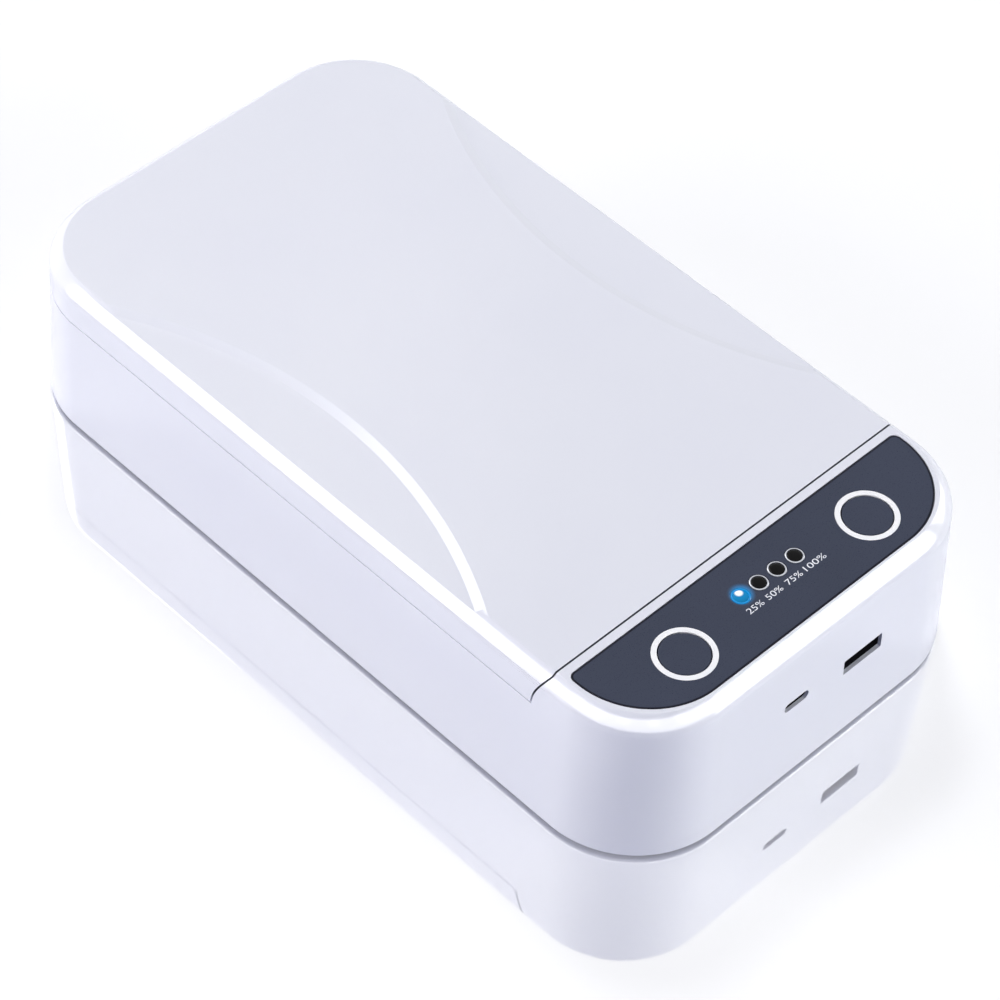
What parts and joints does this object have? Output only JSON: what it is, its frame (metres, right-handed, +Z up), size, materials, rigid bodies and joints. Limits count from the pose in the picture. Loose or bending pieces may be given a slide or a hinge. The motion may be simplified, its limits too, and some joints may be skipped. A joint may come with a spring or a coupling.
{
  "type": "ultraviolet sterilizer box",
  "caption": "Flat white box with a hinged lid over a lamp-lit chamber, a dark control panel with push buttons and charge lights, and sockets in the front.",
  "frame": {"origin": "middle of the footprint, on the plane that the feet stand on", "axes": "+Z up; +Y along the length, from the control panel end to the lid hinge; +X to the right seen from the control panel end"},
  "size_m": [0.1204, 0.22, 0.0469],
  "materials": {
    "pale_shell": "smooth satin gloss, pale lavender white",
    "liner_white": "fine satin white",
    "panel_slate": "printed slate film with a near-black edge",
    "ring_white": "plain white",
    "lens_black": "smoked clear, unlit",
    "lens_lit": "lit white-blue",
    "bright_metal": "bright plated",
    "mirror_sheet": "polished sheet",
    "lamp_glass": "clear quartz glass",
    "silicone": "translucent grey silicone",
    "dark_plastic": "moulded, fine matt",
    "board_green": "solder mask",
    "ferrite": "dull grey",
    "pack_film": "blue shrink film",
    "rubber_grey": "matt",
    "felt": "pressed felt",
    "lead_red": "insulation",
    "screw_steel": "plated"
  },
  "bodies": {
    "base": {"base_shell": "pale_shell", "bottom_cover": "pale_shell", "chamber_liner": "liner_white", "lower_reflector": "mirror_sheet", "lower_lamp": "lamp_glass", "lamp_guard": "liner_white", "aroma_pad": "felt", "aroma_cover": "liner_white", "control_panel": "panel_slate", "control_board": "board_green", "usb_output_shell": "bright_metal", "usb_output_tongue": "dark_plastic", "charge_socket_shell": "bright_metal", "charge_socket_tongue": "dark_plastic", "battery_pack": "pack_film", "power_board": "board_green", "lamp_transformer": "ferrite", "battery_lead": "lead_red", "board_lead": "lead_red", "lid_sensor": "dark_plastic", "lower_lamp_holder_front": "silicone", "lower_lamp_holder_rear": "silicone", "battery_light_1": "lens_lit", "light_bezel_1": "bright_metal", "cover_screw_1": "screw_steel", "foot_1": "rubber_grey", "battery_light_2": "lens_black", "light_bezel_2": "bright_metal", "cover_screw_2": "screw_steel", "foot_2": "rubber_grey", "battery_light_3": "lens_black", "light_bezel_3": "bright_metal", "cover_screw_3": "screw_steel", "foot_3": "rubber_grey", "battery_light_4": "lens_black", "light_bezel_4": "bright_metal", "cover_screw_4": "screw_steel", "foot_4": "rubber_grey", "sterilize_ring": "ring_white", "sterilize_switch": "dark_plastic", "aroma_ring": "ring_white", "aroma_switch": "dark_plastic", "hinge_pin_left": "screw_steel", "base_magnet_left": "bright_metal", "board_screw_left": "screw_steel", "hinge_pin_right": "screw_steel", "base_magnet_right": "bright_metal", "board_screw_right": "screw_steel"},
    "lid": {"lid_shell": "pale_shell", "lid_liner": "liner_white", "lid_reflector": "mirror_sheet", "upper_lamp": "lamp_glass", "upper_lamp_holder_front": "silicone", "upper_lamp_holder_rear": "silicone", "lid_magnet_left": "bright_metal", "liner_screw_left": "screw_steel", "lid_magnet_right": "bright_metal", "liner_screw_right": "screw_steel"},
    "sterilize_button": {"sterilize_button": "panel_slate"},
    "aroma_button": {"aroma_button": "panel_slate"}
  },
  "joints": [
    {"name": "lid_hinge", "type": "hinge", "parent": "base", "child": "lid", "pos_m": [0, 0.10836, 0.034], "axis": [-1, 0, 0], "range_deg": [0, 105]},
    {"name": "sterilize_press", "type": "slide", "parent": "base", "child": "sterilize_button", "axis": [0, 0, -1], "range_m": [0, 0.0005], "stiffness_N_per_m": 800, "springref_m": -0.0005},
    {"name": "aroma_press", "type": "slide", "parent": "base", "child": "aroma_button", "axis": [0, 0, -1], "range_m": [0, 0.0005], "stiffness_N_per_m": 800, "springref_m": -0.0005}
  ]
}
